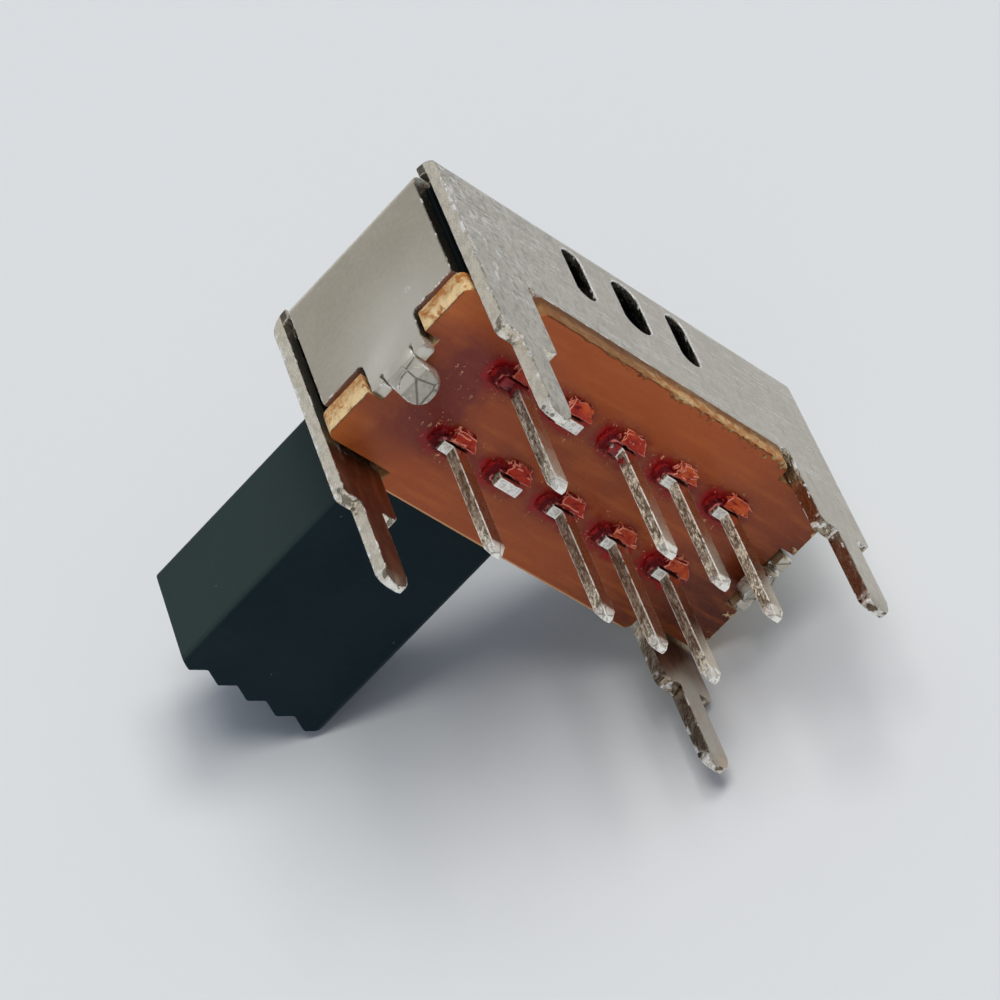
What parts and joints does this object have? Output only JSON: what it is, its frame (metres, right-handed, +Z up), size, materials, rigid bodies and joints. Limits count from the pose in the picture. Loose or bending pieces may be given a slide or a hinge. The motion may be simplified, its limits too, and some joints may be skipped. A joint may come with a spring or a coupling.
{
  "type": "slide switch",
  "caption": "Side-actuated slide switch for a circuit board: folded steel shell, brown terminal board with solder pins and a long black ribbed knob",
  "frame": {"origin": "middle of the shell in X and Y, on the circuit board's surface that the legs' shoulders stand on", "axes": "+X along the slide, -Y towards the knob, +Z up away from the circuit board"},
  "size_m": [0.0174, 0.0181, 0.0136],
  "materials": {
    "nickel_plated_steel": "dull nickel plate with fine scratches, pits and burrs along the cut edges",
    "phenolic_laminate": "glossy brown paper-phenolic with cream fibrous cut edges",
    "tinned_brass": "tinned strip with rough cut faces",
    "black_plastic": "black moulded plastic with a faint sheen",
    "spring_bronze": "bare spring bronze",
    "ball_steel": "polished",
    "spring_wire": "drawn wire",
    "red_varnish": "translucent red sealing varnish"
  },
  "bodies": {
    "housing": {"metal_frame": "nickel_plated_steel", "terminal_board": "phenolic_laminate", "front_terminal_1": "tinned_brass", "front_terminal_4": "tinned_brass", "front_terminal_5": "tinned_brass", "rear_terminal_1": "tinned_brass", "rear_terminal_4": "tinned_brass", "rear_terminal_5": "tinned_brass", "front_common_terminal": "tinned_brass", "rear_common_terminal": "tinned_brass", "front_seal_1": "red_varnish", "front_seal_2": "red_varnish", "front_seal_3": "red_varnish", "front_seal_4": "red_varnish", "front_seal_5": "red_varnish", "rear_seal_1": "red_varnish", "rear_seal_2": "red_varnish", "rear_seal_3": "red_varnish", "rear_seal_4": "red_varnish", "rear_seal_5": "red_varnish"},
    "actuator": {"slider": "black_plastic", "front_contact_clip": "spring_bronze", "rear_contact_clip": "spring_bronze", "detent_spring": "spring_wire"},
    "ball": {"detent_ball": "ball_steel"}
  },
  "joints": [
    {"name": "slider_travel", "type": "slide", "parent": "housing", "child": "actuator", "axis": [1, 0, 0], "range_m": [-0.005, 0]},
    {"name": "detent_travel", "type": "slide", "parent": "actuator", "child": "ball", "axis": [0, 1, 0], "range_m": [0, 0.0001], "stiffness_N_per_m": 200, "springref_m": 0.0001}
  ]
}
